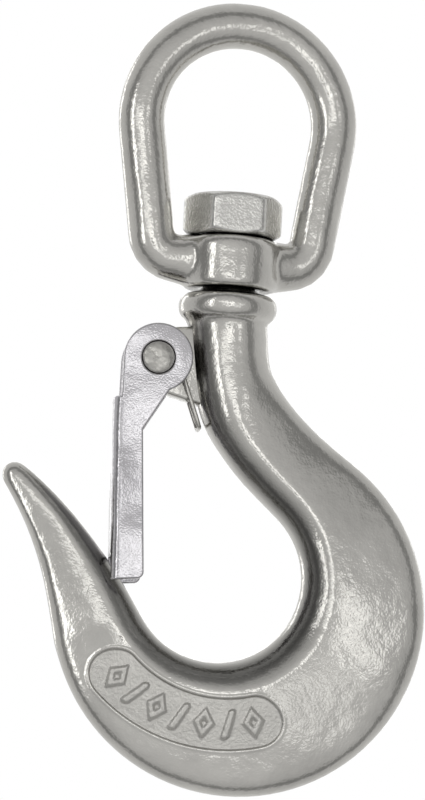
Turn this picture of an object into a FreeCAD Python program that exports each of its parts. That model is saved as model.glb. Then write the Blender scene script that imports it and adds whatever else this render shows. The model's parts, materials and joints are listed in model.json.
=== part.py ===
import FreeCAD, Part
import math
import os

# Swivel hook with a sprung safety latch, in millimetres.
# +Z runs up the swivel axis, +X points from the hook's tip to its back and -Y is its front.
# The origin is the inside of the eye's crown, where the hook hangs.
# Heights named level_ are measured from the middle of the collar under the eye.

V = FreeCAD.Vector
X_AXIS = V(1, 0, 0)
Y_AXIS = V(0, 1, 0)
Z_AXIS = V(0, 0, 1)

# Swivel: shank, bore, nut and collar
shank_diameter = 10.0
swivel_clearance = 0.06
thrust_clearance = 0.1
nut_across_flats = 17.0
nut_height = 8.0
nut_turn = 5.0
nut_chamfer_angle = 30.0
nut_face_share = 0.96
shank_stand_out = 0.3
shank_end_chamfer = 0.5
collar_diameter = 18.8
collar_height = 5.3
collar_edge_radius = 1.6
collar_gap = 0.7
collar_cone_height = 1.4
level_collar_top = 1.7

# Eye: a round bar bent to a bow, with a bored boss at its foot
eye_bar_diameter = 8.8
eye_inner_radius = 14.7
eye_leg_taper = 8.5
eye_foot_radius = 4.9
eye_turn = 9.0
boss_diameter = 19.2
boss_height = 10.3
boss_edge_radius = 1.5
level_crown_inside = 50.0
level_foot_bar = 7.9

# Hook: saddle circle, body depth around it, neck and tip
saddle_radius = 16.24
saddle_offset = 0.75
level_saddle = -53.07
body_depth_mean = 19.6
body_depth_swell = 7.54
body_swell_direction = -52.4
bead_half_thickness = 7.0
edge_half_thickness = 4.7
body_squareness = 2.5
body_rays = (50, 30, 8, -14, -36, -58, -80, -102, -124, -140, -155)
thinning_start_ray = -102
thinning_end_ray = -155
thinning_share = 0.09
# Inner point, direction of the depth, depth, bead and edge as shares of the neck's radius, squareness
neck_sections = (
    ((-6.6, -10.5), 5.0, 15.1, 0.98, 0.98, 2.0),
    ((-5.8, -16.5), 14.0, 15.3, 0.97, 0.95, 2.0),
    ((-3.9, -23.5), 32.0, 16.6, 0.96, 0.88, 2.1),
    ((-0.3, -29.0), 41.0, 16.7, 0.95, 0.82, 2.2),
    ((4.7, -35.0), 46.5, 17.0, 0.93, 0.76, 2.3),
)
# The same towards the tip, with bead and edge as shares of the body's own half thicknesses
tip_sections = (
    ((-17.6, -54.2), 206.4, 14.85, 0.81, 0.9, 2.4),
    ((-22.2, -48.2), 209.1, 11.9, 0.69, 0.8, 2.3),
    ((-27.3, -42.3), 211.8, 9.3, 0.58, 0.7, 2.2),
    ((-32.2, -37.6), 216.5, 7.2, 0.47, 0.62, 2.1),
)
tip_rises = (0, 30, 55, 75)
tip_radius = 2.5
tip_center = (-39.0, -35.6)
tip_direction = 223.0
level_neck_top = -1.0
level_neck_straight = -5.2
neck_diameter = 15.4
neck_offset = 0.4

# Maker's panel sunk in the front face
panel_depth = 0.6
panel_center_shift = (1.66, 0.2)
panel_inner_radius = 23.5
panel_width = 10.0
panel_start = -135.4
panel_end = -75.6
panel_floor_margin = 22.0
panel_floor_sections = 6

# Latch: a channel pressed from sheet, pivoting on a rivet through the lug
sheet = 1.5
pivot_x = -13.1
level_pivot = -11.9
pin_diameter = 6.2
pin_clearance = 0.08
pin_stand_out = 0.5
pin_end_chamfer = 0.4
ear_radius = 6.65
ear_end_angle = -68
latch_heel_lift = 0.5
channel_inner_width = 10.3
bend_outer_radius = 2.0
latch_length = 43.2
latch_web_top = 7.85
web_inset_top = 8.1
web_inset_bottom = 6.9
web_tip_gap = 5.1
flange_width_top = 5.7
flange_width_bottom = 6.4
flange_shoulder = 14.05
flange_corner_radius = 1.3
lug_thickness = 5.2
lug_radius = 6.3
lug_clearance = 0.25
lug_root_depth = 4.0
lug_foot_flare = 2.2
lug_top_flare = 0.8
lug_foot_angle = -80

# Spring: one wire with a coil each side of the lug
wire_diameter = 0.8
coil_full_turns = 1
coil_pin_clearance = 0.25
coil_pitch_gap = 0.06
spring_leg_length = 11.0
spring_web_gap = 0.15
coil_step = 18.0
spring_bend = (-4.35, -24.6)

# Worked out from the sizes above
shank_radius = shank_diameter / 2
bar_radius = eye_bar_diameter / 2
pin_radius = pin_diameter / 2
wire_radius = wire_diameter / 2
level_boss_bottom = level_collar_top + collar_gap
level_boss_top = level_boss_bottom + boss_height
level_nut_bottom = level_boss_top + thrust_clearance
level_nut_top = level_nut_bottom + nut_height
pivot = (pivot_x, level_pivot)
channel_outer_half = channel_inner_width / 2 + sheet


def place(x, level, y=0.0):
    """A point from its distance right of the swivel axis and its level above the collar."""
    return V(x, y, level - level_crown_inside)


def polar(centre, radius, degrees):
    angle = math.radians(degrees)
    return (centre[0] + radius * math.cos(angle), centre[1] + radius * math.sin(angle))


def turned_profile(points):
    """A solid of revolution about the swivel axis from (radius, level) corners."""
    wire = Part.makePolygon([place(r, z) for r, z in points + points[:1]])
    return Part.Face(wire).revolve(V(0, 0, 0), Z_AXIS, 360)


def prism(edges, y_low, y_high):
    """A plate whose outline lies in the XZ plane, from y_low to y_high."""
    face = Part.Face(Part.Wire(edges))
    face.translate(V(0, y_low, 0))
    return face.extrude(V(0, y_high - y_low, 0))


def line(a, b):
    return Part.LineSegment(place(*a), place(*b)).toShape()


def arc(a, b, c):
    return Part.Arc(place(*a), place(*b), place(*c)).toShape()


def cross_cylinder(centre, radius, y_low, y_high):
    return Part.makeCylinder(radius, y_high - y_low, place(centre[0], centre[1], y_low), Y_AXIS)


def egg_section(inner, direction, depth, bead, edge, squareness):
    """A closed section: bead half thickness towards the saddle, edge half thickness outside."""
    count = 16
    angle = math.radians(direction)
    points = []
    for step in range(count):
        turn = 2 * math.pi * step / count
        along = -math.copysign(abs(math.cos(turn)) ** (2 / squareness), math.cos(turn))
        across = math.copysign(abs(math.sin(turn)) ** (2 / squareness), math.sin(turn))
        share = (along + 1) / 2
        y = across * (bead * (1 - share) + edge * share)
        reach = depth * share
        points.append(place(inner[0] + reach * math.cos(angle), inner[1] + reach * math.sin(angle), y))
    curve = Part.BSplineCurve()
    curve.interpolate(Points=points, PeriodicFlag=True, Parameters=list(range(count + 1)))
    return Part.Wire([curve.toShape()])


def saddle_point(ray):
    return polar((saddle_offset, level_saddle), saddle_radius, ray)


def body_depth(ray):
    """Depth of the body on a ray from the saddle's centre: the outside is a second circle."""
    swing = math.radians(ray - body_swell_direction)
    outer_radius = saddle_radius + body_depth_mean
    across = body_depth_swell * math.sin(swing)
    along = body_depth_swell * math.cos(swing)
    return along + math.sqrt(outer_radius ** 2 - across ** 2) - saddle_radius


def body_stations():
    """(inner point, direction, depth, bead, edge, squareness) from the neck to the tip."""
    half = neck_diameter / 2
    stations = [((neck_offset - half, level), 0.0, neck_diameter, half, half, 2.0)
                for level in (level_neck_top, level_neck_straight)]
    for inner, direction, depth, bead, edge, squareness in neck_sections:
        stations.append((inner, direction, depth, half * bead, half * edge, squareness))
    for ray in body_rays:
        thinning = max(0.0, (ray - thinning_start_ray) / (thinning_end_ray - thinning_start_ray))
        stations.append((saddle_point(ray), ray, body_depth(ray),
                         bead_half_thickness * (1 - thinning_share * thinning),
                         edge_half_thickness, body_squareness))
    for inner, direction, depth, bead, edge, squareness in tip_sections:
        stations.append((inner, direction, depth, bead_half_thickness * bead,
                         edge_half_thickness * edge, squareness))
    for rise in tip_rises:
        radius = tip_radius * math.cos(math.radians(rise))
        forward = tip_radius * math.sin(math.radians(rise))
        centre = polar(tip_center, forward, tip_direction - 90)
        inner = polar(centre, -radius, tip_direction)
        stations.append((inner, tip_direction, 2 * radius, radius, radius, 2.0))
    return stations


def hook_shell():
    return Part.makeLoft([egg_section(*station) for station in body_stations()], True, False)


def panel_floor():
    """The stretch of the body under the panel, thinner than the real one by the panel's depth."""
    first = panel_start - panel_floor_margin
    last = panel_end + panel_floor_margin
    sections = []
    for i in range(panel_floor_sections):
        ray = first + (last - first) * i / (panel_floor_sections - 1)
        sections.append(egg_section(saddle_point(ray), ray, body_depth(ray),
                                    bead_half_thickness - panel_depth,
                                    edge_half_thickness - panel_depth, body_squareness))
    return Part.makeLoft(sections, True, False)


def hook_body():
    """One casting: bowl, neck, collar, latch lug and the threaded shank through the eye."""
    top = level_collar_top
    foot = top - collar_height
    edge = collar_edge_radius
    wide = collar_diameter / 2
    narrow = neck_diameter / 2
    collar = turned_profile([(0, top), (wide, top), (wide, foot),
                             (narrow, foot - collar_cone_height), (0, foot - collar_cone_height)])
    rims = [e for e in collar.Edges if abs(e.BoundBox.XMax - wide) < 0.01 and e.BoundBox.ZLength < 0.01]
    collar = collar.makeFillet(edge, rims)
    end = level_nut_top + shank_stand_out
    shank = turned_profile([(0, top - 1), (shank_radius, top - 1), (shank_radius, end - shank_end_chamfer),
                            (shank_radius - shank_end_chamfer, end), (0, end)])
    body = hook_shell().fuse([collar, shank, lug()])
    return body.cut(pin_bore(0.0)).cut(panel_pocket()).removeSplitter()


def lug():
    """The ear of the casting that carries the latch's rivet."""
    px, pz = pivot
    r = lug_radius
    top = (px, pz + r)
    foot = polar(pivot, r, lug_foot_angle)
    root = neck_offset - lug_root_depth
    edges = [
        arc(top, (px - r, pz), foot),
        line(foot, (root, pz - r - lug_foot_flare)),
        line((root, pz - r - lug_foot_flare), (root, pz + r + lug_top_flare)),
        line((root, pz + r + lug_top_flare), top),
    ]
    return prism(edges, -lug_thickness / 2, lug_thickness / 2)


def pin_bore(clearance):
    return cross_cylinder(pivot, pin_radius + clearance, -2 * channel_outer_half, 2 * channel_outer_half)


def panel_pocket():
    """A curved slot with round ends, sunk by one depth everywhere below the front face."""
    centre = (saddle_offset + panel_center_shift[0], level_saddle + panel_center_shift[1])
    r_in = panel_inner_radius
    r_out = panel_inner_radius + panel_width
    r_mid = (r_in + r_out) / 2
    middle = (panel_start + panel_end) / 2
    half = math.degrees(panel_width / 2 / r_mid)
    start_cap = polar(centre, r_mid, panel_start - half)
    end_cap = polar(centre, r_mid, panel_end + half)
    edges = [
        arc(polar(centre, r_in, panel_start), polar(centre, r_in, middle), polar(centre, r_in, panel_end)),
        arc(polar(centre, r_in, panel_end), end_cap, polar(centre, r_out, panel_end)),
        arc(polar(centre, r_out, panel_end), polar(centre, r_out, middle),
            polar(centre, r_out, panel_start)),
        arc(polar(centre, r_out, panel_start), start_cap, polar(centre, r_in, panel_start)),
    ]
    slot = prism(edges, -2 * bead_half_thickness, 0)
    return slot.cut(panel_floor())


def swivel_eye():
    """Bow of round bar with the boss that the hook's shank turns in."""
    radius = eye_inner_radius + bar_radius
    crown = (0.0, level_crown_inside - eye_inner_radius)
    taper = eye_leg_taper
    leg_top = polar(crown, radius, -taper)
    foot_centre_level = level_foot_bar + eye_foot_radius
    drop = leg_top[1] - foot_centre_level - eye_foot_radius * math.sin(math.radians(-taper))
    leg_foot = (leg_top[0] - drop * math.tan(math.radians(taper)), leg_top[1] - drop)
    foot = (leg_foot[0] - eye_foot_radius * math.cos(math.radians(taper)), foot_centre_level)
    corner = polar(foot, eye_foot_radius, -45 - taper / 2)
    bend_end = (foot[0], level_foot_bar)
    start = (1.0, level_foot_bar)

    def other(p):
        return (-p[0], p[1])

    path = Part.Wire([
        line(start, bend_end),
        arc(bend_end, corner, leg_foot),
        line(leg_foot, leg_top),
        arc(leg_top, (0.0, crown[1] + radius), other(leg_top)),
        line(other(leg_top), other(leg_foot)),
        arc(other(leg_foot), other(corner), other(bend_end)),
        line(other(bend_end), other(start)),
    ])
    ring = Part.Wire([Part.Circle(place(*start), X_AXIS, bar_radius).toShape()])
    bow = path.makePipeShell([ring], True, False)
    boss_radius = boss_diameter / 2
    boss = turned_profile([(0, level_boss_bottom), (boss_radius, level_boss_bottom),
                           (boss_radius, level_boss_top), (0, level_boss_top)])
    rims = [e for e in boss.Edges if abs(e.BoundBox.XMax - boss_radius) < 0.01 and e.BoundBox.ZLength < 0.01]
    boss = boss.makeFillet(boss_edge_radius, rims)
    eye = bow.fuse(boss)
    bore_radius = shank_radius + swivel_clearance
    bore = turned_profile([(0, level_boss_bottom - 1), (bore_radius, level_boss_bottom - 1),
                           (bore_radius, level_boss_top + 1), (0, level_boss_top + 1)])
    eye = eye.cut(bore).removeSplitter()
    eye.rotate(V(0, 0, 0), Z_AXIS, eye_turn)
    return eye


def swivel_nut():
    """Hexagon nut, its corners turned off at both faces."""
    corner = nut_across_flats / math.sqrt(3)
    flat_radius = nut_across_flats / 2
    ring = [V(corner * math.cos(math.radians(60 * i)), corner * math.sin(math.radians(60 * i)),
              level_nut_bottom - level_crown_inside) for i in range(7)]
    prism_body = Part.Face(Part.makePolygon(ring)).extrude(V(0, 0, nut_height))
    prism_body.rotate(V(0, 0, 0), Z_AXIS, nut_turn)
    face_radius = nut_face_share * flat_radius
    outside = corner + 1
    slope = (outside - face_radius) * math.tan(math.radians(nut_chamfer_angle))
    envelope = turned_profile([(0, level_nut_bottom), (face_radius, level_nut_bottom),
                               (outside, level_nut_bottom + slope), (outside, level_nut_top - slope),
                               (face_radius, level_nut_top), (0, level_nut_top)])
    thread = turned_profile([(0, level_nut_bottom - 1), (shank_radius, level_nut_bottom - 1),
                             (shank_radius, level_nut_top + 1), (0, level_nut_top + 1)])
    return prism_body.common(envelope).cut(thread)


def latch_point(right, down):
    """A point on the latch, from the middle of its pivot."""
    return (pivot_x + right, level_pivot - down)


def latch():
    """Pressed channel: a web facing the tip, two flanges and the ears on the rivet."""
    reach = latch_length
    lean = (web_inset_top - web_inset_bottom) / (reach - latch_web_top)
    web_top = latch_point(-web_inset_top, latch_web_top)
    web_foot = latch_point(-web_inset_bottom, reach)
    inner_top = (web_top[0] + sheet, web_top[1])
    shoulder = latch_point(flange_width_top - web_inset_top + lean * (flange_shoulder - latch_web_top),
                           flange_shoulder)
    heel = latch_point(flange_width_bottom - web_inset_bottom, reach - latch_heel_lift)
    corner = flange_corner_radius
    ear_left = latch_point(-ear_radius, 0)
    ear_foot = latch_point(-ear_radius, latch_web_top)
    ear_right = polar(pivot, ear_radius, ear_end_angle)
    edges = [
        arc(ear_left, polar(pivot, ear_radius, (180 + ear_end_angle) / 2), ear_right),
        line(ear_right, shoulder),
        line(shoulder, (heel[0], heel[1] + corner)),
        arc((heel[0], heel[1] + corner), (heel[0] - 0.3 * corner, heel[1] + 0.3 * corner),
            (heel[0] - corner, heel[1])),
        line((heel[0] - corner, heel[1]), web_foot),
        line(web_foot, web_top),
        line(web_top, ear_foot),
        line(ear_foot, ear_left),
    ]
    outer = prism(edges, -channel_outer_half, channel_outer_half)
    bends = [e for e in outer.Edges
             if len(e.Vertexes) == 2
             and abs(e.BoundBox.ZLength - (reach - latch_web_top)) < 0.05
             and e.BoundBox.XMax < place(*inner_top).x
             and e.BoundBox.YLength < 0.01]
    outer = outer.makeFillet(bend_outer_radius, bends)
    half = channel_inner_width / 2
    far = 2 * reach
    web_end = latch_point(-web_inset_bottom, reach - web_tip_gap)
    inner_foot = (web_end[0] + sheet - lean * web_tip_gap, web_end[1])
    hollow = [
        line(latch_point(-far, -far), latch_point(far, -far)),
        line(latch_point(far, -far), latch_point(far, far)),
        line(latch_point(far, far), latch_point(-far, far)),
        line(latch_point(-far, far), (pivot_x - far, web_end[1])),
        line((pivot_x - far, web_end[1]), inner_foot),
        line(inner_foot, inner_top),
        line(inner_top, (pivot_x - far, inner_top[1])),
        line((pivot_x - far, inner_top[1]), latch_point(-far, -far)),
    ]
    return outer.cut(prism(hollow, -half, half)).cut(pin_bore(pin_clearance))


def latch_pin():
    """Rivet pressed through the lug, its ends a little proud of the ears."""
    half = channel_outer_half + pin_stand_out
    pin = cross_cylinder(pivot, pin_radius, -half, half)
    return pin.makeChamfer(pin_end_chamfer, [e for e in pin.Edges if e.BoundBox.YLength < 0.01])


def latch_spring():
    """Double torsion spring: a loop bears on the neck and two short legs push the web."""
    radius = pin_radius + coil_pin_clearance + wire_radius
    pitch = wire_diameter + coil_pitch_gap
    near = lug_thickness / 2 + lug_clearance + wire_radius
    to_bend = math.hypot(spring_bend[0] - pivot_x, spring_bend[1] - level_pivot)
    bearing = math.degrees(math.atan2(spring_bend[1] - level_pivot, spring_bend[0] - pivot_x))
    leave = bearing + math.degrees(math.acos(radius / to_bend))
    lean = (web_inset_top - web_inset_bottom) / (latch_length - latch_web_top)
    web_inset = web_inset_top - sheet - lean * (spring_leg_length - latch_web_top)
    to_web = wire_radius + spring_web_gap - web_inset
    span = math.hypot(radius, spring_leg_length)
    web_leg_turn = 360.0 - math.degrees(math.acos(to_web / span) + math.atan2(spring_leg_length, radius))
    sweep = 360.0 * coil_full_turns + web_leg_turn - leave
    far = near + pitch * sweep / 360.0
    steps = round(sweep / coil_step)

    def half(side):
        """Points from the web leg's end, round the coil, to the loop's corner."""
        turns = [(polar(pivot, radius, web_leg_turn - sweep * i / steps), far + (near - far) * i / steps)
                 for i in range(steps + 1)]
        leg_end = polar(turns[0][0], spring_leg_length, web_leg_turn + 90)
        route = [(leg_end, far)] + turns + [(spring_bend, near)]
        return [place(p[0], p[1], side * y) for p, y in route]

    path = Part.makePolygon(half(-1) + half(1)[::-1])
    start = path.Vertexes[0].Point
    ring = Part.Circle(start, path.Vertexes[1].Point - start, wire_radius).toShape()
    return path.makePipeShell([Part.Wire([ring])], True, False, 1)


os.makedirs("parts", exist_ok=True)
for name, make in {
    "hook_body": hook_body,
    "swivel_eye": swivel_eye,
    "swivel_nut": swivel_nut,
    "latch": latch,
    "latch_pin": latch_pin,
    "latch_spring": latch_spring,
}.items():
    shape = make()
    print(name, "valid", shape.isValid(), "solids", len(shape.Solids), "volume", round(shape.Volume, 1),
          "box", [round(v, 2) for v in (shape.BoundBox.XMin, shape.BoundBox.YMin, shape.BoundBox.ZMin,
                                        shape.BoundBox.XMax, shape.BoundBox.YMax, shape.BoundBox.ZMax)])
    shape.exportStep("parts/" + name + ".step")
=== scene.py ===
import json
import math

import bmesh
import bpy
from mathutils import Matrix, Vector, noise


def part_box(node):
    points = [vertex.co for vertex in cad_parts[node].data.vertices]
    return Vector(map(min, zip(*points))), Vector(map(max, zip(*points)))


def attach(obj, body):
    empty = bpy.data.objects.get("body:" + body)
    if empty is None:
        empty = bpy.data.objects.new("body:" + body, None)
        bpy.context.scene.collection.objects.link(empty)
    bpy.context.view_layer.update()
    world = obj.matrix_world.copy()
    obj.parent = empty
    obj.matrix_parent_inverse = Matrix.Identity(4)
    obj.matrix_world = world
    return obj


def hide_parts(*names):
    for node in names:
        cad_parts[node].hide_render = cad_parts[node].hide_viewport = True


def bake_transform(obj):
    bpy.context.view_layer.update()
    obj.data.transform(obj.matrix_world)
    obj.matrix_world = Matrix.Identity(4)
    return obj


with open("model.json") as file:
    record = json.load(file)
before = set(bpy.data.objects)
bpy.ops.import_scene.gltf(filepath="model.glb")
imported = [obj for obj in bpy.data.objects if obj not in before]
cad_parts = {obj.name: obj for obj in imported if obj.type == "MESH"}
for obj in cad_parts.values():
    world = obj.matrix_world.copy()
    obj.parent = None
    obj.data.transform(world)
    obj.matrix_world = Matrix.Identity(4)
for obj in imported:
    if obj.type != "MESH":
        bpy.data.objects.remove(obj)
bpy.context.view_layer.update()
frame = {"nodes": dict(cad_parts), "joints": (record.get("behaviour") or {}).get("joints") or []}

# ---------------------------------------------------------------- hook body
# The hook itself: bowl, tip, neck, collar, latch lug and shank are one stainless
# investment casting, tumbled to a semi-bright finish with a soft peel and fine pits.
# Its skin is a row of rings from the shank down the neck and round the bowl to the tip.
MM = 0.001
CROWN_LEVEL = 50.0
RING = 24
SHANK = 5.0
NECK = 15.4
SADDLE = (0.75, -53.07)
SADDLE_RADIUS = 16.24
DEPTH_MEAN = 19.6
DEPTH_SWELL = 7.54
SWELL_DIRECTION = -52.4
BEAD = 7.1
BEAD_SLANTS = (90, 72, 54, 38, 22)
BEAD_RISE = 0.625
BEAD_REACH = 0.78
BEAD_WIDTH = 0.945
CREST_FALL = 0.985
CREST_START = 0.97
CREST_END = 1.16
EDGE = 3.5
EDGE_ROUND = 0.112
RIM_GAIN = 0.021
# Painted dark reflection: how much each bead vertex is darkened, counted from the bead's innermost point on
# each side.
PAINTED_DARK_BEAD = (0.0, 0.15, 0.85, 1.0, 0.3)
TIP_CENTRE = (-39.0, -35.6)
TIP_DIRECTION = 223.0
TIP_RADIUS = 2.575


def place(x, level, y=0.0):
    """A point from millimetres right of the swivel axis and above the collar's middle."""
    return Vector((x, y, level - CROWN_LEVEL)) * MM


def polar(centre, radius, degrees):
    """The point at a radius and direction from a centre, in the hook's own plane."""
    angle = math.radians(degrees)
    return (centre[0] + radius * math.cos(angle), centre[1] + radius * math.sin(angle))


def mix(a, b, share):
    """Part of the way from a to b."""
    return a + (b - a) * share


def smoothstep(low, high, value):
    """Rises softly from 0 at low to 1 at high."""
    share = min(max((value - low) / (high - low), 0.0), 1.0)
    return share * share * (3 - 2 * share)


def add_ring(bm, points):
    """One closed loop of vertices through the given points."""
    made = bmesh.ops.create_circle(bm, cap_ends=False, segments=len(points), radius=1.0)["verts"]
    for vert, point in zip(made, points):
        vert.co = point
    return made


def add_painted_dark_ring(bm, points, painted_dark):
    """A ring whose bead carries a painted dark reflection, the dark band seen along the bead inside a hook's
    bowl.
    """
    made = add_ring(bm, points)
    layer = bm.verts.layers.float.get("painted_dark")
    for i, vert in enumerate(made):
        nearest = min(i, len(made) - i)
        vert[layer] = painted_dark * PAINTED_DARK_BEAD[nearest] if nearest < len(PAINTED_DARK_BEAD) else 0.0
    return made


def ring_edges(ring):
    """The edges that run between a ring's own vertices."""
    members = set(ring)
    return list({e for v in ring for e in v.link_edges if e.other_vert(v) in members})


def skin(bm, rings, closed=False):
    """Bridges each ring to the next. Open ends are capped."""
    edges = [ring_edges(ring) for ring in rings]
    after = edges[1:] + edges[:1] if closed else edges[1:]
    for here, there in zip(edges, after):
        bmesh.ops.bridge_loops(bm, edges=here + there)
    if not closed:
        for end in (edges[0], edges[-1]):
            bmesh.ops.contextual_create(bm, geom=end)
    bmesh.ops.recalc_face_normals(bm, faces=bm.faces[:])


def finish_mesh(bm, name, subdivisions=0):
    """The bmesh as a smooth-shaded object, with its subdivision already applied."""
    mesh = bpy.data.meshes.new(name)
    bm.to_mesh(mesh)
    bm.free()
    mesh.polygons.foreach_set("use_smooth", [True] * len(mesh.polygons))
    made = bpy.data.objects.new(name, mesh)
    bpy.context.scene.collection.objects.link(made)
    if subdivisions:
        rounding = made.modifiers.new("rounding", "SUBSURF")
        rounding.levels = rounding.render_levels = subdivisions
        graph = bpy.context.evaluated_depsgraph_get()
        made.data = bpy.data.meshes.new_from_object(made.evaluated_get(graph))
        made.modifiers.clear()
        made.data.name = name
    return made


def section(inner, direction, depth, half, edge, ridge, roundness):
    """A ring round the body: bead towards the saddle, ridge, then a face falling to the outer edge."""
    bead = []
    for slant in BEAD_SLANTS:
        rise = (1 - math.sin(math.radians(slant))) / BEAD_RISE
        width = math.cos(math.radians(slant)) / math.cos(math.radians(BEAD_SLANTS[-1]))
        bead.append((rise * ridge * BEAD_REACH, half * BEAD_WIDTH * width))
    face_start = (ridge * CREST_END, half * CREST_FALL)
    crest = [(ridge * CREST_START, half), face_start]
    depth *= 1 + RIM_GAIN * (1 - roundness)
    shoulder = depth * (1 - EDGE_ROUND)
    face = [(mix(face_start[0], shoulder, f), mix(face_start[1], edge, f ** 1.2)) for f in (0.25, 0.52, 0.8)]
    rim = [(shoulder, edge), (mix(shoulder, depth, 0.7), edge * 0.66), (depth, 0.0)]
    outline = bead + crest + face + rim
    steps = len(outline) - 1
    round_radius = depth / 2
    points = []
    for i in range(2 * steps):
        side = -1 if i <= steps else 1
        k = i if i <= steps else 2 * steps - i
        turn = math.pi * k / steps
        u = mix(outline[k][0], round_radius * (1 - math.cos(turn)), roundness)
        v = mix(outline[k][1], round_radius * math.sin(turn), roundness)
        x, level = polar(inner, u, direction)
        points.append(place(x, level, side * v))
    return points


def body_depth(ray):
    """From the saddle circle out to the back of the bowl, whose circle is set off along the swell."""
    swing = math.radians(ray - SWELL_DIRECTION)
    outside = SADDLE_RADIUS + DEPTH_MEAN
    across = DEPTH_SWELL * math.sin(swing)
    return DEPTH_SWELL * math.cos(swing) + math.sqrt(outside ** 2 - across ** 2) - SADDLE_RADIUS


def collar_ring(radius, level):
    """A level circle round the swivel axis, its points in step with the rings of the body."""
    turns = [2 * math.pi * i / RING for i in range(RING)]
    return [place(-radius * math.cos(t), level, -radius * math.sin(t)) for t in turns]


nut_low, nut_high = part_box("swivel_nut")
shank_end = nut_high.z / MM + CROWN_LEVEL + 0.3
shank_profile = ((SHANK - 0.8, shank_end), (SHANK - 0.3, shank_end - 0.05), (SHANK, shank_end - 0.45),
                 (SHANK, 12.0), (SHANK, 2.6), (SHANK + 0.15, 1.72))
collar_profile = ((6.6, 1.7), (8.1, 1.65), (9.1, 1.05), (9.58, 0.0), (9.66, -1.0), (9.5, -2.1),
                  (9.0, -2.95), (8.3, -3.45), (7.85, -4.1))
shank_rings = [collar_ring(radius, level) for radius, level in shank_profile + collar_profile]

# Inner point, direction of the depth, depth, half thickness at the bead and at the outer edge,
# distance from the inner point to the ridge, and how nearly the ring is a circle.
stations = [
    ((0.4 - NECK / 2, -5.4), 0.0, NECK, 7.7, 7.0, 5.6, 1.0),
    ((-6.95, -8.2), 2.0, 15.2, 7.6, 7.0, 5.6, 1.0),
    ((-6.5, -11.5), 6.0, 15.1, 7.5, 6.6, 5.6, 0.95),
    ((-5.8, -16.5), 14.0, 15.3, 7.4, 6.0, 5.6, 0.8),
    ((-4.9, -20.3), 23.0, 16.0, 7.3, 5.4, 5.6, 0.62),
    ((-3.3, -24.7), 34.0, 16.6, 7.25, 4.9, 5.5, 0.42),
    ((-0.3, -29.0), 41.0, 16.7, 7.2, 4.5, 5.4, 0.22),
    ((4.4, -34.7), 46.5, 17.0, 7.15, 4.1, 5.3, 0.08),
]
BOWL_START = 50
BOWL_END = -155
for ray in range(BOWL_START, BOWL_END - 1, -12):
    swell = math.exp(-((ray + 50) / 45) ** 2)
    thin = smoothstep(-95, BOWL_END, ray)
    stations.append((polar(SADDLE, SADDLE_RADIUS, ray), ray, body_depth(ray), BEAD * (1 - 0.1 * thin),
                     EDGE, mix(5.5, 6.9, swell), 0.0))
stations += [
    (polar(SADDLE, SADDLE_RADIUS, BOWL_END), BOWL_END, body_depth(BOWL_END), BEAD * 0.89, EDGE, 5.5, 0.0),
    ((-17.6, -54.2), 206.4, 14.85, 5.6, 3.3, 4.9, 0.02),
    ((-22.2, -48.2), 209.1, 11.9, 4.7, 3.0, 4.1, 0.06),
    ((-27.3, -42.3), 211.8, 9.3, 3.9, 2.7, 3.3, 0.12),
    ((-32.2, -37.6), 216.5, 7.2, 3.15, 2.4, 2.7, 0.25),
    ((-36.0, -34.6), 222.0, 5.6, 2.7, 2.3, 2.2, 0.6),
]
for rise in (5, 35, 62, 80):
    radius = TIP_RADIUS * math.cos(math.radians(rise))
    middle = polar(TIP_CENTRE, TIP_RADIUS * math.sin(math.radians(rise)), TIP_DIRECTION - 90)
    stations.append((polar(middle, -radius, TIP_DIRECTION), TIP_DIRECTION, 2 * radius, radius, radius,
                     radius, 1.0))
bm = bmesh.new()
# A layer marking where the bead gets its painted dark reflection.
bm.verts.layers.float.new("painted_dark")
body_rings = []
for station in stations:
    # Painted dark reflection on the bead: full where a ring is flat-sided, fading as it rounds, and 0.8 on
    # the neck's rings.
    on_neck = station[0][0] > -10
    body_rings.append(add_painted_dark_ring(bm, section(*station), max(1.0 - station[-1], 0.8 * on_neck)))
skin(bm, [add_ring(bm, ring) for ring in shank_rings] + body_rings)
hook_body = finish_mesh(bm, "hook_casting", 2)

# The panel is sunk into the front face between two arcs near the saddle's centre. Its floor is
# pebbled, and a plain row of raised lozenges and leaning bars stands on it.
PANEL_DEPTH = 0.55
PANEL_CENTRE = (SADDLE[0] + 1.66, SADDLE[1] + 0.2)
PANEL_INNER = 23.5
PANEL_WIDTH = 10.0
PANEL_START = -135.4
PANEL_END = -75.6
PANEL_WALL = 0.34
MARKS = 7
MARK_HEIGHT = 0.5
MARK_SOFT = 0.35
LOZENGE = (2.0, 2.9)
LOZENGE_RIM = 0.55
BAR_LEAN = 0.3
BAR_REACH = 2.1
BAR_HALF = 0.68
PANEL_MIDDLE = PANEL_INNER + PANEL_WIDTH / 2


def panel_place(x, level):
    """Distance along the panel's middle arc from its start, and outwards from that arc."""
    dx = x - PANEL_CENTRE[0]
    dz = level - PANEL_CENTRE[1]
    ray = math.degrees(math.atan2(dz, dx))
    return math.radians(ray - PANEL_START) * PANEL_MIDDLE, math.hypot(dx, dz) - PANEL_MIDDLE


def mark_distance(along, out, centre, hollow):
    """Distance outside a raised mark: a leaning bar, or a lozenge ring when hollow."""
    across = along - centre
    if hollow:
        lozenge = (abs(across) / LOZENGE[0] + abs(out) / LOZENGE[1] - 1) * 1.65
        return abs(lozenge + LOZENGE_RIM) - LOZENGE_RIM
    across += BAR_LEAN * out
    beyond = out - min(max(out, -BAR_REACH), BAR_REACH)
    return math.hypot(across, beyond) - BAR_HALF


panel_length = math.radians(PANEL_END - PANEL_START) * PANEL_MIDDLE
marks = [(mix(0.6, panel_length - 0.6, i / (MARKS - 1)), i % 2 == 0) for i in range(MARKS)]


def past_panel(x, level):
    """Distance outside the panel's rounded outline, negative within it."""
    along, out = panel_place(x, level)
    nearest = min(max(along, 0.0), panel_length)
    return math.hypot(along - nearest, out) - PANEL_WIDTH / 2


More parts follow.
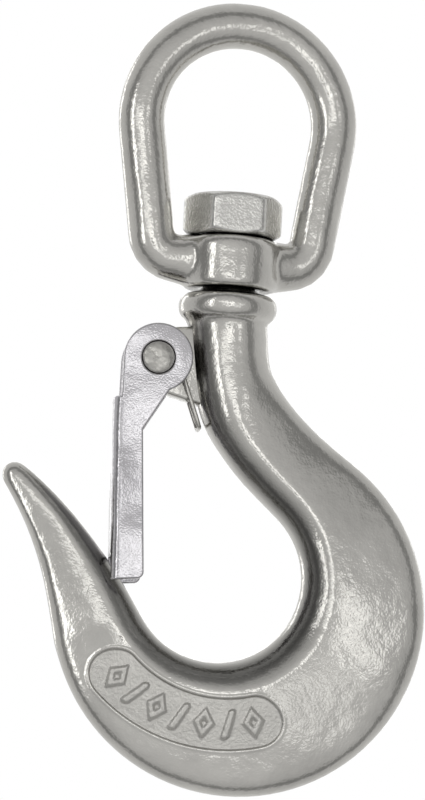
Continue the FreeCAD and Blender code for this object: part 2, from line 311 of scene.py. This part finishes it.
def panel_sink(x, level):
    """How far the front face is sunk at this place, in millimetres."""
    along, out = panel_place(x, level)
    outside = past_panel(x, level)
    floor_share = 1 - smoothstep(-PANEL_WALL, 0.0, outside)
    lip = 0.1 * math.exp(-((outside - 0.25) / 0.3) ** 2)
    raised = 0.0
    for mark in marks:
        top_share = 1 - smoothstep(-MARK_SOFT, MARK_SOFT, mark_distance(along, out, *mark))
        raised = max(raised, MARK_HEIGHT * top_share)
    return (PANEL_DEPTH - raised) * floor_share - lip


def front_place(point):
    """Millimetres right and up of a point on the front face, or None behind it."""
    if point.y < -1.0 * MM:
        return point.x / MM, point.z / MM + CROWN_LEVEL
    return None


def refill(piece, bm):
    """Puts the bmesh back into a piece and shades it smooth."""
    bm.to_mesh(piece.data)
    bm.free()
    piece.data.polygons.foreach_set("use_smooth", [True] * len(piece.data.polygons))


bm = bmesh.new()
bm.from_mesh(hook_body.data)
for margin, cuts in ((2.4, 1), (1.3, 3)):
    near = []
    for face in bm.faces:
        at = front_place(face.calc_center_median())
        if at and past_panel(*at) < margin:
            near.append(face)
    edges = list({e for face in near for e in face.edges})
    bmesh.ops.subdivide_edges(bm, edges=edges, cuts=cuts, use_grid_fill=True)
sunk = bm.verts.layers.float.new("sunk")
for vert in bm.verts:
    at = front_place(vert.co)
    if at:
        vert.co.y += panel_sink(*at) * MM
        vert[sunk] = 1.0 if past_panel(*at) < -0.1 else 0.0
refill(hook_body, bm)


def node_maker(material):
    """The material's tree, and a function that adds a node to it with its settings and inputs."""
    tree = material.node_tree

    def node(kind, **settings):
        made = tree.nodes.new(kind)
        for key, value in settings.items():
            if key in made.inputs:
                made.inputs[key].default_value = value
            else:
                setattr(made, key, value)
        return made
    return tree, node


PEBBLE = 0.121
FLOOR_ROUGHER = 0.22
# Painted shade in crevices: how far the ambient occlusion reaches, and the darkest tone it gives.
PAINTED_SHADE_REACH = 2.2
PAINTED_SHADE_TONE = 0.35
# Painted dark reflection on the bead: the darkest tone it gives.
PAINTED_DARK_TONE = 0.3


def steel(name, colour, roughness, wave=0.5, peel=0.09, pits=0.036, grain=0.45, mottle=0.14):
    """Stainless steel: slow waves, a soft peel and fine pits, all heights in millimetres.

    Painted shade darkens its colour in crevices and gaps, a painted dark reflection darkens the marked bead,
    and it has a pebbled finish where marked sunk.
    """
    material = bpy.data.materials.new(name)
    material.use_nodes = True
    tree, node = node_maker(material)
    shader = tree.nodes["Principled BSDF"]
    shader.inputs["Metallic"].default_value = 1.0
    place_in = node("ShaderNodeTexCoord")
    link = tree.links.new

    def texture(size, detail, roughness_of):
        """Noise on the piece's own coordinates, its size in millimetres."""
        made = node("ShaderNodeTexNoise", Scale=1.0 / (size * MM), Detail=detail, Roughness=roughness_of)
        link(place_in.outputs["Object"], made.inputs["Vector"])
        return made.outputs["Fac"]

    def spread(value, low, high):
        """The noise's usual range stretched to run from low to high."""
        made = node("ShaderNodeMapRange")
        made.inputs["From Min"].default_value = 0.3
        made.inputs["From Max"].default_value = 0.7
        made.inputs["To Min"].default_value = low
        made.inputs["To Max"].default_value = high
        link(value, made.inputs["Value"])
        return made.outputs["Result"]

    cloud = texture(9.0, 5.0, 0.6)
    tone = node("ShaderNodeMix", data_type="RGBA")
    tone.inputs[6].default_value = (*[c * (1 - mottle) for c in colour], 1)
    tone.inputs[7].default_value = (*colour, 1)
    link(spread(cloud, 0.0, 1.0), tone.inputs[0])
    # Painted shade: ambient occlusion darkens the base colour in crevices and in the gaps between parts.
    open_air = node("ShaderNodeAmbientOcclusion", Distance=PAINTED_SHADE_REACH * MM, samples=8)
    shade_amount = node("ShaderNodeMapRange")
    shade_amount.inputs["From Min"].default_value = 0.15
    shade_amount.inputs["From Max"].default_value = 0.75
    shade_amount.inputs["To Min"].default_value = PAINTED_SHADE_TONE
    link(open_air.outputs["AO"], shade_amount.inputs["Value"])
    painted_shade = node("ShaderNodeMix", data_type="RGBA", blend_type="MULTIPLY")
    painted_shade.inputs[0].default_value = 1.0
    link(tone.outputs[2], painted_shade.inputs[6])
    link(shade_amount.outputs["Result"], painted_shade.inputs[7])
    # Painted dark reflection: the base colour is darkened where the mesh's layer marks the bead.
    painted_dark_mark = node("ShaderNodeAttribute", attribute_name="painted_dark")
    painted_dark = node("ShaderNodeMapRange")
    painted_dark.inputs["To Min"].default_value = 1.0
    painted_dark.inputs["To Max"].default_value = PAINTED_DARK_TONE
    link(painted_dark_mark.outputs["Fac"], painted_dark.inputs["Value"])
    painted_dark_mix = node("ShaderNodeMix", data_type="RGBA", blend_type="MULTIPLY")
    painted_dark_mix.inputs[0].default_value = 1.0
    link(painted_shade.outputs[2], painted_dark_mix.inputs[6])
    link(painted_dark.outputs["Result"], painted_dark_mix.inputs[7])
    link(painted_dark_mix.outputs[2], shader.inputs["Base Color"])
    floor_mark = node("ShaderNodeAttribute", attribute_name="sunk")
    coarse = node("ShaderNodeMath", operation="MULTIPLY_ADD")
    coarse.inputs[1].default_value = FLOOR_ROUGHER
    link(floor_mark.outputs["Fac"], coarse.inputs[0])
    link(spread(texture(2.4, 6.0, 0.7), roughness * 0.7, roughness * 1.35), coarse.inputs[2])
    link(coarse.outputs["Value"], shader.inputs["Roughness"])
    surface = [(texture(11.0, 0.0, 0.5), wave), (texture(2.4, 1.0, 0.5), peel),
               (texture(grain, 1.5, 0.5), pits), (texture(0.6, 2.0, 0.5), PEBBLE)]
    bumps = []
    for height, distance in surface:
        bump = node("ShaderNodeBump", Strength=1.0, Distance=distance * MM)
        link(height, bump.inputs["Height"])
        if bumps:
            link(bumps[-1].outputs["Normal"], bump.inputs["Normal"])
        bumps.append(bump)
    link(floor_mark.outputs["Fac"], bumps[-1].inputs["Strength"])
    link(bumps[-1].outputs["Normal"], shader.inputs["Normal"])
    return material


def dress(piece, material):
    """Gives a piece its one material."""
    piece.data.materials.clear()
    piece.data.materials.append(material)


cast_steel = steel("cast_stainless", (0.67, 0.66, 0.63), 0.14)

# The lug for the rivet stands on the neck between the latch's ears, part of the same casting.
pivot_at = Vector(next(j for j in frame["joints"] if j["name"] == "latch_pivot")["pos_m"])
PIVOT = (pivot_at.x / MM, pivot_at.z / MM + CROWN_LEVEL)
LUG_RADIUS = 6.3
LUG_THICK = 5.2
LUG_ROUND = 0.7
LUG_ROOT = -3.6
bm = bmesh.new()
outline = [polar(PIVOT, LUG_RADIUS, angle) for angle in range(90, 281, 10)]
outline += [(LUG_ROOT, PIVOT[1] - LUG_RADIUS - 2.2), (LUG_ROOT, PIVOT[1] + LUG_RADIUS + 0.8)]
rim = add_ring(bm, [place(x, level, -LUG_THICK / 2) for x, level in outline])
plate = bmesh.ops.contextual_create(bm, geom=ring_edges(rim))["faces"]
raised_plate = bmesh.ops.extrude_face_region(bm, geom=plate)["geom"]
far_rim = [g for g in raised_plate if isinstance(g, bmesh.types.BMVert)]
bmesh.ops.translate(bm, vec=(0, LUG_THICK * MM, 0), verts=far_rim)
bmesh.ops.recalc_face_normals(bm, faces=bm.faces[:])
corners = [e for e in bm.edges if abs(e.verts[0].co.y - e.verts[1].co.y) < 1e-6]
bmesh.ops.bevel(bm, geom=corners, offset=LUG_ROUND * MM, segments=3, profile=0.5, affect="EDGES", material=-1)
latch_lug = finish_mesh(bm, "latch_lug")
for piece in (hook_body, latch_lug):
    dress(piece, cast_steel)
    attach(piece, "hook")
    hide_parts("hook_body")

# ---------------------------------------------------------------- swivel eye
# The eye is a bow of 8.8 mm round stainless bar forged into one with its bored boss; the bars
# run into the boss with soft hollows, and the whole is tumbled like the hook.
BAR = 4.4
BAR_SWELL = 1.02
JOINT_SWELL = 0.13
EYE_INSIDE = 14.7
EYE_RADIUS = EYE_INSIDE + BAR
LEG_TAPER = 8.5
FOOT_RADIUS = 4.9
FOOT_LEVEL = 7.9
EYE_TURN = 9.0
BOSS_RADIUS = 9.55
BOSS_LOW = 2.4
BOSS_HIGH = 12.7
BORE = 5.06
BOSS_RING = 48
VOXEL = 0.42
crown = (0.0, CROWN_LEVEL - EYE_INSIDE)
leg_top = polar(crown, EYE_RADIUS, -LEG_TAPER)
foot_level = FOOT_LEVEL + FOOT_RADIUS
drop = leg_top[1] - foot_level + FOOT_RADIUS * math.sin(math.radians(LEG_TAPER))
leg_foot = (leg_top[0] - drop * math.tan(math.radians(LEG_TAPER)), leg_top[1] - drop)
foot = (leg_foot[0] - FOOT_RADIUS * math.cos(math.radians(LEG_TAPER)), foot_level)
route = [((x, FOOT_LEVEL), 0.0) for x in (6.4, 8.0, 9.6)]
route += [(polar(foot, FOOT_RADIUS, a), a + 90) for a in (-90, -72, -54, -36, -18, -LEG_TAPER)]
route += [((mix(leg_foot[0], leg_top[0], s), mix(leg_foot[1], leg_top[1], s)), 90 - LEG_TAPER)
          for s in (0.1, 0.25, 0.5, 0.75, 0.9)]
bow_angles = [mix(-LEG_TAPER, 90, i / 22) for i in range(22)]
route += [(polar(crown, EYE_RADIUS, a), a + 90) for a in bow_angles]
route += [((-p[0], p[1]), 360 - heading) for p, heading in reversed(route)]
bm = bmesh.new()
bars = []
for (x, level), heading in route:
    near_boss = smoothstep(13.5, 7.5, abs(x)) * (level < 20)
    radius = BAR * (BAR_SWELL + JOINT_SWELL * near_boss)
    points = []
    for i in range(RING):
        turn = 2 * math.pi * i / RING
        side_x, side_level = polar((x, level), radius * math.cos(turn), heading - 90)
        points.append(place(side_x, side_level, radius * math.sin(turn)))
    bars.append(add_ring(bm, points))
skin(bm, bars)
boss_profile = [(BORE, BOSS_LOW + 0.5), (BORE + 0.5, BOSS_LOW), (BOSS_RADIUS - 1.4, BOSS_LOW),
                (BOSS_RADIUS - 0.4, BOSS_LOW + 0.45), (BOSS_RADIUS, BOSS_LOW + 1.5),
                (BOSS_RADIUS + 0.02, 7.5), (BOSS_RADIUS, BOSS_HIGH - 1.9),
                (BOSS_RADIUS - 0.55, BOSS_HIGH - 0.65), (BOSS_RADIUS - 1.7, BOSS_HIGH),
                (BORE + 0.5, BOSS_HIGH), (BORE, BOSS_HIGH - 0.5)]
boss_rings = []
for radius, level in boss_profile:
    turns = [2 * math.pi * i / BOSS_RING for i in range(BOSS_RING)]
    boss_rings.append(add_ring(bm, [place(radius * math.cos(t), level, radius * math.sin(t)) for t in turns]))
skin(bm, boss_rings, closed=True)
eye_turn = Matrix.Rotation(math.radians(EYE_TURN), 3, "Z")
bmesh.ops.rotate(bm, cent=(0, 0, 0), matrix=eye_turn, verts=bm.verts[:])
swivel_eye = finish_mesh(bm, "eye_forging")
merge = swivel_eye.modifiers.new("merge", "REMESH")
merge.mode = "VOXEL"
merge.voxel_size = VOXEL * MM
graph = bpy.context.evaluated_depsgraph_get()
swivel_eye.data = bpy.data.meshes.new_from_object(swivel_eye.evaluated_get(graph))
swivel_eye.modifiers.clear()
bm = bmesh.new()
bm.from_mesh(swivel_eye.data)
junction = [v for v in bm.verts if 6.3 < abs(v.co.x / MM) < 14 and v.co.z / MM + CROWN_LEVEL < 15.5]
for verts, times in ((junction, 14), (bm.verts[:], 4)):
    for _ in range(times):
        bmesh.ops.smooth_vert(bm, verts=verts, factor=0.5, use_axis_x=True, use_axis_y=True, use_axis_z=True)
refill(swivel_eye, bm)
dress(swivel_eye, cast_steel)
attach(swivel_eye, "eye")
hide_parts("swivel_eye")

# ---------------------------------------------------------------- swivel nut
# A stainless hexagon nut, M10, its corners chamfered at both faces. It is screwed on the shank
# just above the boss and carries the load. Satin machined faces with softly broken edges.
NUT_SIDES = 96
NUT_FLAT = 8.5
NUT_TURN = 5.0
NUT_SOFT = 34
nut_middle = (nut_low.z + nut_high.z) / 2 / MM + CROWN_LEVEL
nut_half = (nut_high.z - nut_low.z) / 2 / MM
THREAD = 5.02
THREAD_MOUTH = 5.7
NUT_EASE = 0.985
face_radius = 0.96 * NUT_FLAT
chamfer = math.tan(math.radians(30))


def nut_radius(turn, height):
    """The softened smaller of the hexagon and the chamfer cone, at this angle and height."""
    facings = [math.cos(turn - math.radians(NUT_TURN + 30 + 60 * k)) for k in range(6)]
    flats = sum(max(facing, 0.0) ** NUT_SOFT for facing in facings)
    hexagon = NUT_FLAT * flats ** (-1 / NUT_SOFT)
    cone = face_radius + (nut_half - abs(height)) / chamfer
    return (hexagon ** -NUT_SOFT + cone ** -NUT_SOFT) ** (-1 / NUT_SOFT)


def nut_ring(radius_at, height):
    """A ring at one height, with its radius given as a function of the angle."""
    turns = [2 * math.pi * i / NUT_SIDES for i in range(NUT_SIDES)]
    return [place(radius_at(t) * math.cos(t), nut_middle + height, radius_at(t) * math.sin(t)) for t in turns]


NUT_LAYERS = 14
outer = []
for layer in range(-NUT_LAYERS, NUT_LAYERS + 1):
    share = layer / NUT_LAYERS
    height = nut_half * math.copysign(abs(share) ** 0.7, share) * NUT_EASE
    outer.append(nut_ring(lambda t: nut_radius(t, height), height))
top = nut_half
inner = [nut_ring(lambda t: NUT_EASE * nut_radius(t, top), top), nut_ring(lambda t: THREAD_MOUTH, top),
         nut_ring(lambda t: THREAD, top - 0.6), nut_ring(lambda t: THREAD, 0.6 - top),
         nut_ring(lambda t: THREAD_MOUTH, -top),
         nut_ring(lambda t: NUT_EASE * nut_radius(t, top), -top)]
bm = bmesh.new()
skin(bm, [add_ring(bm, ring) for ring in outer + inner], closed=True)
swivel_nut = finish_mesh(bm, "hex_nut")
dress(swivel_nut, steel("nut_steel", (0.76, 0.755, 0.73), 0.2, wave=0.0, peel=0.04, pits=0.09))
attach(swivel_nut, "hook")
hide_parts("swivel_nut")

# ---------------------------------------------------------------- latch
# The safety latch is pressed from 1.5 mm stainless sheet: two ears on the rivet, two flanges
# and a web that faces the tip. It is brighter than the castings, a little wavy from the press,
# and its cut edges are rounded.
SHEET_MERGE = 0.06
SHEET_ROUND = 0.42
SHARP_ANGLE = math.radians(40)
bm = bmesh.new()
bm.from_mesh(frame["nodes"]["latch"].data)
bmesh.ops.remove_doubles(bm, verts=bm.verts[:], dist=SHEET_MERGE * MM)
bmesh.ops.dissolve_limit(bm, angle_limit=math.radians(1.0), verts=bm.verts[:], edges=bm.edges[:])
sharp = [e for e in bm.edges if len(e.link_faces) == 2 and e.calc_face_angle(0.0) > SHARP_ANGLE]
bmesh.ops.bevel(bm, geom=sharp, offset=SHEET_ROUND * MM, segments=4, profile=0.5, affect="EDGES", material=-1)
latch = finish_mesh(bm, "pressed_latch")
flat_faces = latch.modifiers.new("flat_faces", "WEIGHTED_NORMAL")
flat_faces.weight = 100
dress(latch, steel("latch_sheet", (0.65, 0.64, 0.665), 0.13, wave=1.3, peel=0.06,
                   pits=0.04, grain=0.35, mottle=0.16))
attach(latch, "latch")
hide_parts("latch")

# ---------------------------------------------------------------- latch pin
# A 6.2 mm stainless rivet pressed through the lug; the latch's ears turn on it. Its ends are
# hammered slightly domed, with shallow dents, and stay matt.
PIN_RING = 48
DENT = 0.07
pin_low, pin_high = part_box("latch_pin")
pin_half = pin_high.y / MM
pin_radius = (pin_high.x - pin_low.x) / 2 / MM
end_profile = ((1.0, 0.25), (0.985, 0.6), (0.95, 0.88), (0.915, 0.985), (0.87, 1.0))
pin_profile = [(-y, radius) for y, radius in end_profile] + list(reversed(end_profile))
bm = bmesh.new()
pin_rings = []
for y, radius in pin_profile:
    ring = []
    for i in range(PIN_RING):
        x, level = polar(PIVOT, radius * pin_radius, 360 * i / PIN_RING)
        dent = DENT * noise.noise(Vector((x, level, y * 3)) * 0.9) if abs(y) > 0.93 else 0.0
        ring.append(place(x, level, y * pin_half - math.copysign(abs(dent), y)))
    pin_rings.append(add_ring(bm, ring))
skin(bm, pin_rings)
latch_pin = finish_mesh(bm, "rivet")
dress(latch_pin, steel("rivet_steel", (0.62, 0.61, 0.58), 0.3, wave=0.0, peel=0.6, pits=0.06))
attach(latch_pin, "hook")
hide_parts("latch_pin")

# ---------------------------------------------------------------- latch spring
# One 0.8 mm stainless spring wire, wound cold: a loop against the neck, a coil on the rivet each
# side of the lug, and a short leg on each side pressing the latch's web out to the tip.
WIRE = 0.4
SPRING_GAP = 0.25
COIL = pin_radius + SPRING_GAP + WIRE
PITCH = 0.86
COIL_NEAR = LUG_THICK / 2 + SPRING_GAP + WIRE
LOOP = (-4.35, -24.6)
LOOP_ROUND = 1.1
LOOP_SLOPE = (0.39, 0.92)
COIL_STEPS = 36
WEB_LEG = 11.0
WEB_TURN = 167.6
to_loop = math.hypot(LOOP[0] - PIVOT[0], LOOP[1] - PIVOT[1])
leave = math.degrees(math.atan2(LOOP[1] - PIVOT[1], LOOP[0] - PIVOT[0]) + math.acos(COIL / to_loop))
sweep = 360 + WEB_TURN - leave
half_route = []
coil_start = polar(PIVOT, COIL, WEB_TURN)
coil_far = COIL_NEAR + PITCH * sweep / 360
for s in (1.0, 0.66, 0.33):
    half_route.append((*polar(coil_start, WEB_LEG * s, WEB_TURN + 90), coil_far))
for i in range(COIL_STEPS + 1):
    share = i / COIL_STEPS
    half_route.append((*polar(PIVOT, COIL, WEB_TURN - sweep * share), mix(coil_far, COIL_NEAR, share)))
coil_end = half_route[-1]
for s in (0.3, 0.6, 0.88):
    half_route.append((mix(coil_end[0], LOOP[0], s), mix(coil_end[1], LOOP[1], s), COIL_NEAR))
for a in (30, 60, 90):
    lift = LOOP_ROUND * (1 - math.sin(math.radians(a)))
    inward = LOOP_ROUND * (1 - math.cos(math.radians(a)))
    half_route.append((LOOP[0] - LOOP_SLOPE[0] * lift, LOOP[1] + LOOP_SLOPE[1] * lift, COIL_NEAR - inward))
wire_route = [place(x, level, -y) for x, level, y in half_route]
wire_route += [place(x, level, y) for x, level, y in reversed(half_route)]
curve = bpy.data.curves.new("spring_wire", "CURVE")
curve.dimensions = "3D"
curve.bevel_depth = WIRE * MM
curve.bevel_resolution = 4
curve.use_fill_caps = True
spline = curve.splines.new("POLY")
spline.points.add(len(wire_route) - 1)
for point, at in zip(spline.points, wire_route):
    point.co = (*at, 1.0)
drawn = bpy.data.objects.new("spring_drawn", curve)
bpy.context.scene.collection.objects.link(drawn)
graph = bpy.context.evaluated_depsgraph_get()
wire_mesh = bpy.data.meshes.new_from_object(drawn.evaluated_get(graph))
bpy.data.objects.remove(drawn)
bm = bmesh.new()
bm.from_mesh(wire_mesh)
bmesh.ops.remove_doubles(bm, verts=bm.verts[:], dist=0.001 * MM)
bmesh.ops.recalc_face_normals(bm, faces=bm.faces[:])
latch_spring = finish_mesh(bm, "torsion_spring")
dress(latch_spring, steel("spring_steel", (0.62, 0.61, 0.58), 0.24, wave=0.0, peel=0.005, pits=0.01))
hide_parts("latch_spring")
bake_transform(latch_spring)

# ---------------------------------------------------------------- studio
# A plain white studio: a pale floor well below the hanging hook, a white surround that only the
# camera sees, and soft light from a tent with a hole in front.
scene = bpy.context.scene
scene.view_settings.view_transform = "Standard"


def glowing(name, colour, strength):
    """A material that only gives off even light."""
    material = bpy.data.materials.new(name)
    material.use_nodes = True
    tree = material.node_tree
    tree.nodes.clear()
    emit = tree.nodes.new("ShaderNodeEmission")
    emit.inputs["Color"].default_value = (*colour, 1)
    emit.inputs["Strength"].default_value = strength
    out = tree.nodes.new("ShaderNodeOutputMaterial")
    tree.links.new(emit.outputs["Emission"], out.inputs["Surface"])
    return material


FLOOR_HEIGHT = -0.30
FLOOR_HALF = 1.6
bm = bmesh.new()
bmesh.ops.create_uvsphere(bm, u_segments=48, v_segments=24, radius=4.0)
surround = finish_mesh(bm, "white_surround")
dress(surround, glowing("surround_white", (1, 1, 1), 1.0))
for ray_kind in ("visible_diffuse", "visible_glossy", "visible_transmission", "visible_shadow"):
    setattr(surround, ray_kind, False)
bm = bmesh.new()
bmesh.ops.create_grid(bm, x_segments=1, y_segments=1, size=FLOOR_HALF)
bmesh.ops.translate(bm, vec=(0, 0, FLOOR_HEIGHT), verts=bm.verts[:])
floor = finish_mesh(bm, "pale_floor")
pale = bpy.data.materials.new("pale_floor")
pale.use_nodes = True
pale_shader = pale.node_tree.nodes["Principled BSDF"]
pale_shader.inputs["Base Color"].default_value = (0.86, 0.86, 0.86, 1)
pale_shader.inputs["Roughness"].default_value = 0.9
dress(floor, pale)
floor.visible_glossy = False

# The steel is lit by a tent that is brighter or darker with the angle from the front, with soft
# windows in it. The same windows stand behind, so that the back has its highlights too.
world = bpy.data.worlds.new("studio")
scene.world = world
world.use_nodes = True
tree = world.node_tree
background = tree.nodes["Background"]
direction = tree.nodes.new("ShaderNodeTexCoord")
AZIMUTH = math.radians(-3.5)
ELEVATION = math.radians(-6.5)
front = Vector((math.sin(AZIMUTH) * math.cos(ELEVATION), -math.cos(AZIMUTH) * math.cos(ELEVATION),
                math.sin(ELEVATION)))
across = Vector((0, 0, 1)).cross(front).normalized()


def sky_math(operation, *values):
    """A Math node over numbers and other nodes' outputs."""
    made = tree.nodes.new("ShaderNodeMath")
    made.operation = operation
    for socket, value in zip(made.inputs, values):
        if isinstance(value, (int, float)):
            socket.default_value = value
        else:
            tree.links.new(value, socket)
    return made.outputs[0]


def towards(axis):
    """The cosine between the ray and an axis."""
    made = tree.nodes.new("ShaderNodeVectorMath")
    made.operation = "DOT_PRODUCT"
    made.inputs[1].default_value = axis
    tree.links.new(direction.outputs["Generated"], made.inputs[0])
    return made.outputs["Value"]


def step(value, low, high):
    """Rises softly from 0 at low to 1 at high."""
    made = tree.nodes.new("ShaderNodeMapRange")
    made.interpolation_type = "SMOOTHSTEP"
    made.inputs["From Min"].default_value = low
    made.inputs["From Max"].default_value = high
    tree.links.new(value, made.inputs["Value"])
    return made.outputs["Result"]


def window(value, low, high, soft):
    """1 between two angles and 0 beyond them, with soft ends."""
    opened = step(value, low - soft, low + soft)
    closed = step(value, high - soft, high + soft)
    return sky_math("MULTIPLY", opened, sky_math("SUBTRACT", 1.0, closed))


DEGREE = 180 / math.pi
ahead = towards(front)
mirrored_ahead = sky_math("ABSOLUTE", ahead)
sideways = sky_math("MULTIPLY", sky_math("ARCTAN2", towards(across), mirrored_ahead), DEGREE)
upwards = sky_math("MULTIPLY", sky_math("ARCSINE", towards(front.cross(across))), DEGREE)
apart = sky_math("MULTIPLY", sky_math("ARCCOSINE", ahead), DEGREE)

# Brightness of the tent, from straight in front at 0 to straight behind at 1.
wall = tree.nodes.new("ShaderNodeValToRGB")
wall_stops = [(0.0, 0.7), (0.12, 0.66), (0.2, 0.6), (0.3, 0.5), (0.34, 0.27), (0.4, 0.27), (0.46, 0.56),
              (0.75, 0.74), (1.0, 0.85)]
stops = wall.color_ramp.elements
ends = {0.0: 0, 1.0: -1}
for position, value in wall_stops:
    stop = stops[ends[position]] if position in ends else stops.new(position)
    stop.color = (value, value, value, 1)
tree.links.new(sky_math("DIVIDE", apart, 180.0), wall.inputs["Fac"])
level = wall.outputs["Color"]

# The windows: left, right, low and high in degrees, softness, and brightness.
windows = [(-8, 11, -9, 13, 1.2, 1.8), (-48, -39, -12, 26, 1.5, 2.4), (27, 34, -1, 13, 1.8, 1.6),
           (14, 25, -13, -4, 1.5, 1.2), (-26, -8, 9, 15, 1.5, 1.6)]
for left_edge, right_edge, low, high, soft, value in windows:
    blend = tree.nodes.new("ShaderNodeMix")
    blend.data_type = "FLOAT"
    beside = window(sideways, left_edge, right_edge, soft)
    opening = sky_math("MULTIPLY", beside, window(upwards, low, high, soft))
    tree.links.new(opening, blend.inputs[0])
    tree.links.new(level, blend.inputs[2])
    blend.inputs[3].default_value = value
    level = blend.outputs[0]

# A small dark opening straight in front, and a faintly warm tint over all of it.
hole = step(apart, 4.0, 6.0)
level = sky_math("MULTIPLY", level, sky_math("MULTIPLY_ADD", hole, 0.9, 0.1))
tint = tree.nodes.new("ShaderNodeMix")
tint.data_type = "RGBA"
tint.blend_type = "MULTIPLY"
tint.inputs[0].default_value = 1.0
tree.links.new(level, tint.inputs[6])
tint.inputs[7].default_value = (1.0, 0.995, 0.985, 1)
tree.links.new(tint.outputs[2], background.inputs["Color"])
background.inputs["Strength"].default_value = 1.0

# One broad lamp overhead lights the floor, and the steel doesn't mirror it.
overhead = bpy.data.lights.new("overhead", "AREA")
overhead.size = 1.6
overhead.energy = 30.0
overhead_lamp = bpy.data.objects.new("overhead", overhead)
scene.collection.objects.link(overhead_lamp)
overhead_lamp.location = (0.0, 0.0, 1.2)
overhead_lamp.visible_glossy = False

# Camera: a long lens a little below and left of square on, tipped a few degrees.
FRAME_HEIGHT = 154.1
TARGET = Vector((-1.95, 0.0, -68.8)) * MM
DISTANCE = 1.05
SENSOR = 24.0
ROLL = math.radians(3.2)
lens = bpy.data.cameras.new("camera")
lens.sensor_fit = "VERTICAL"
lens.sensor_height = SENSOR
lens.lens = SENSOR * DISTANCE / (FRAME_HEIGHT * MM)
lens.clip_start = 0.01
lens.clip_end = 20.0
camera = bpy.data.objects.new("camera", lens)
scene.collection.objects.link(camera)
back = front
forward = -back
right = forward.cross(Vector((0, 0, 1))).normalized()
up = right.cross(forward)
tipped_up = up * math.cos(ROLL) - right * math.sin(ROLL)
tipped_right = right * math.cos(ROLL) + up * math.sin(ROLL)
turn = Matrix((tipped_right, tipped_up, back)).transposed()
camera.matrix_world = Matrix.Translation(TARGET + back * DISTANCE) @ turn.to_4x4()
scene.camera = camera
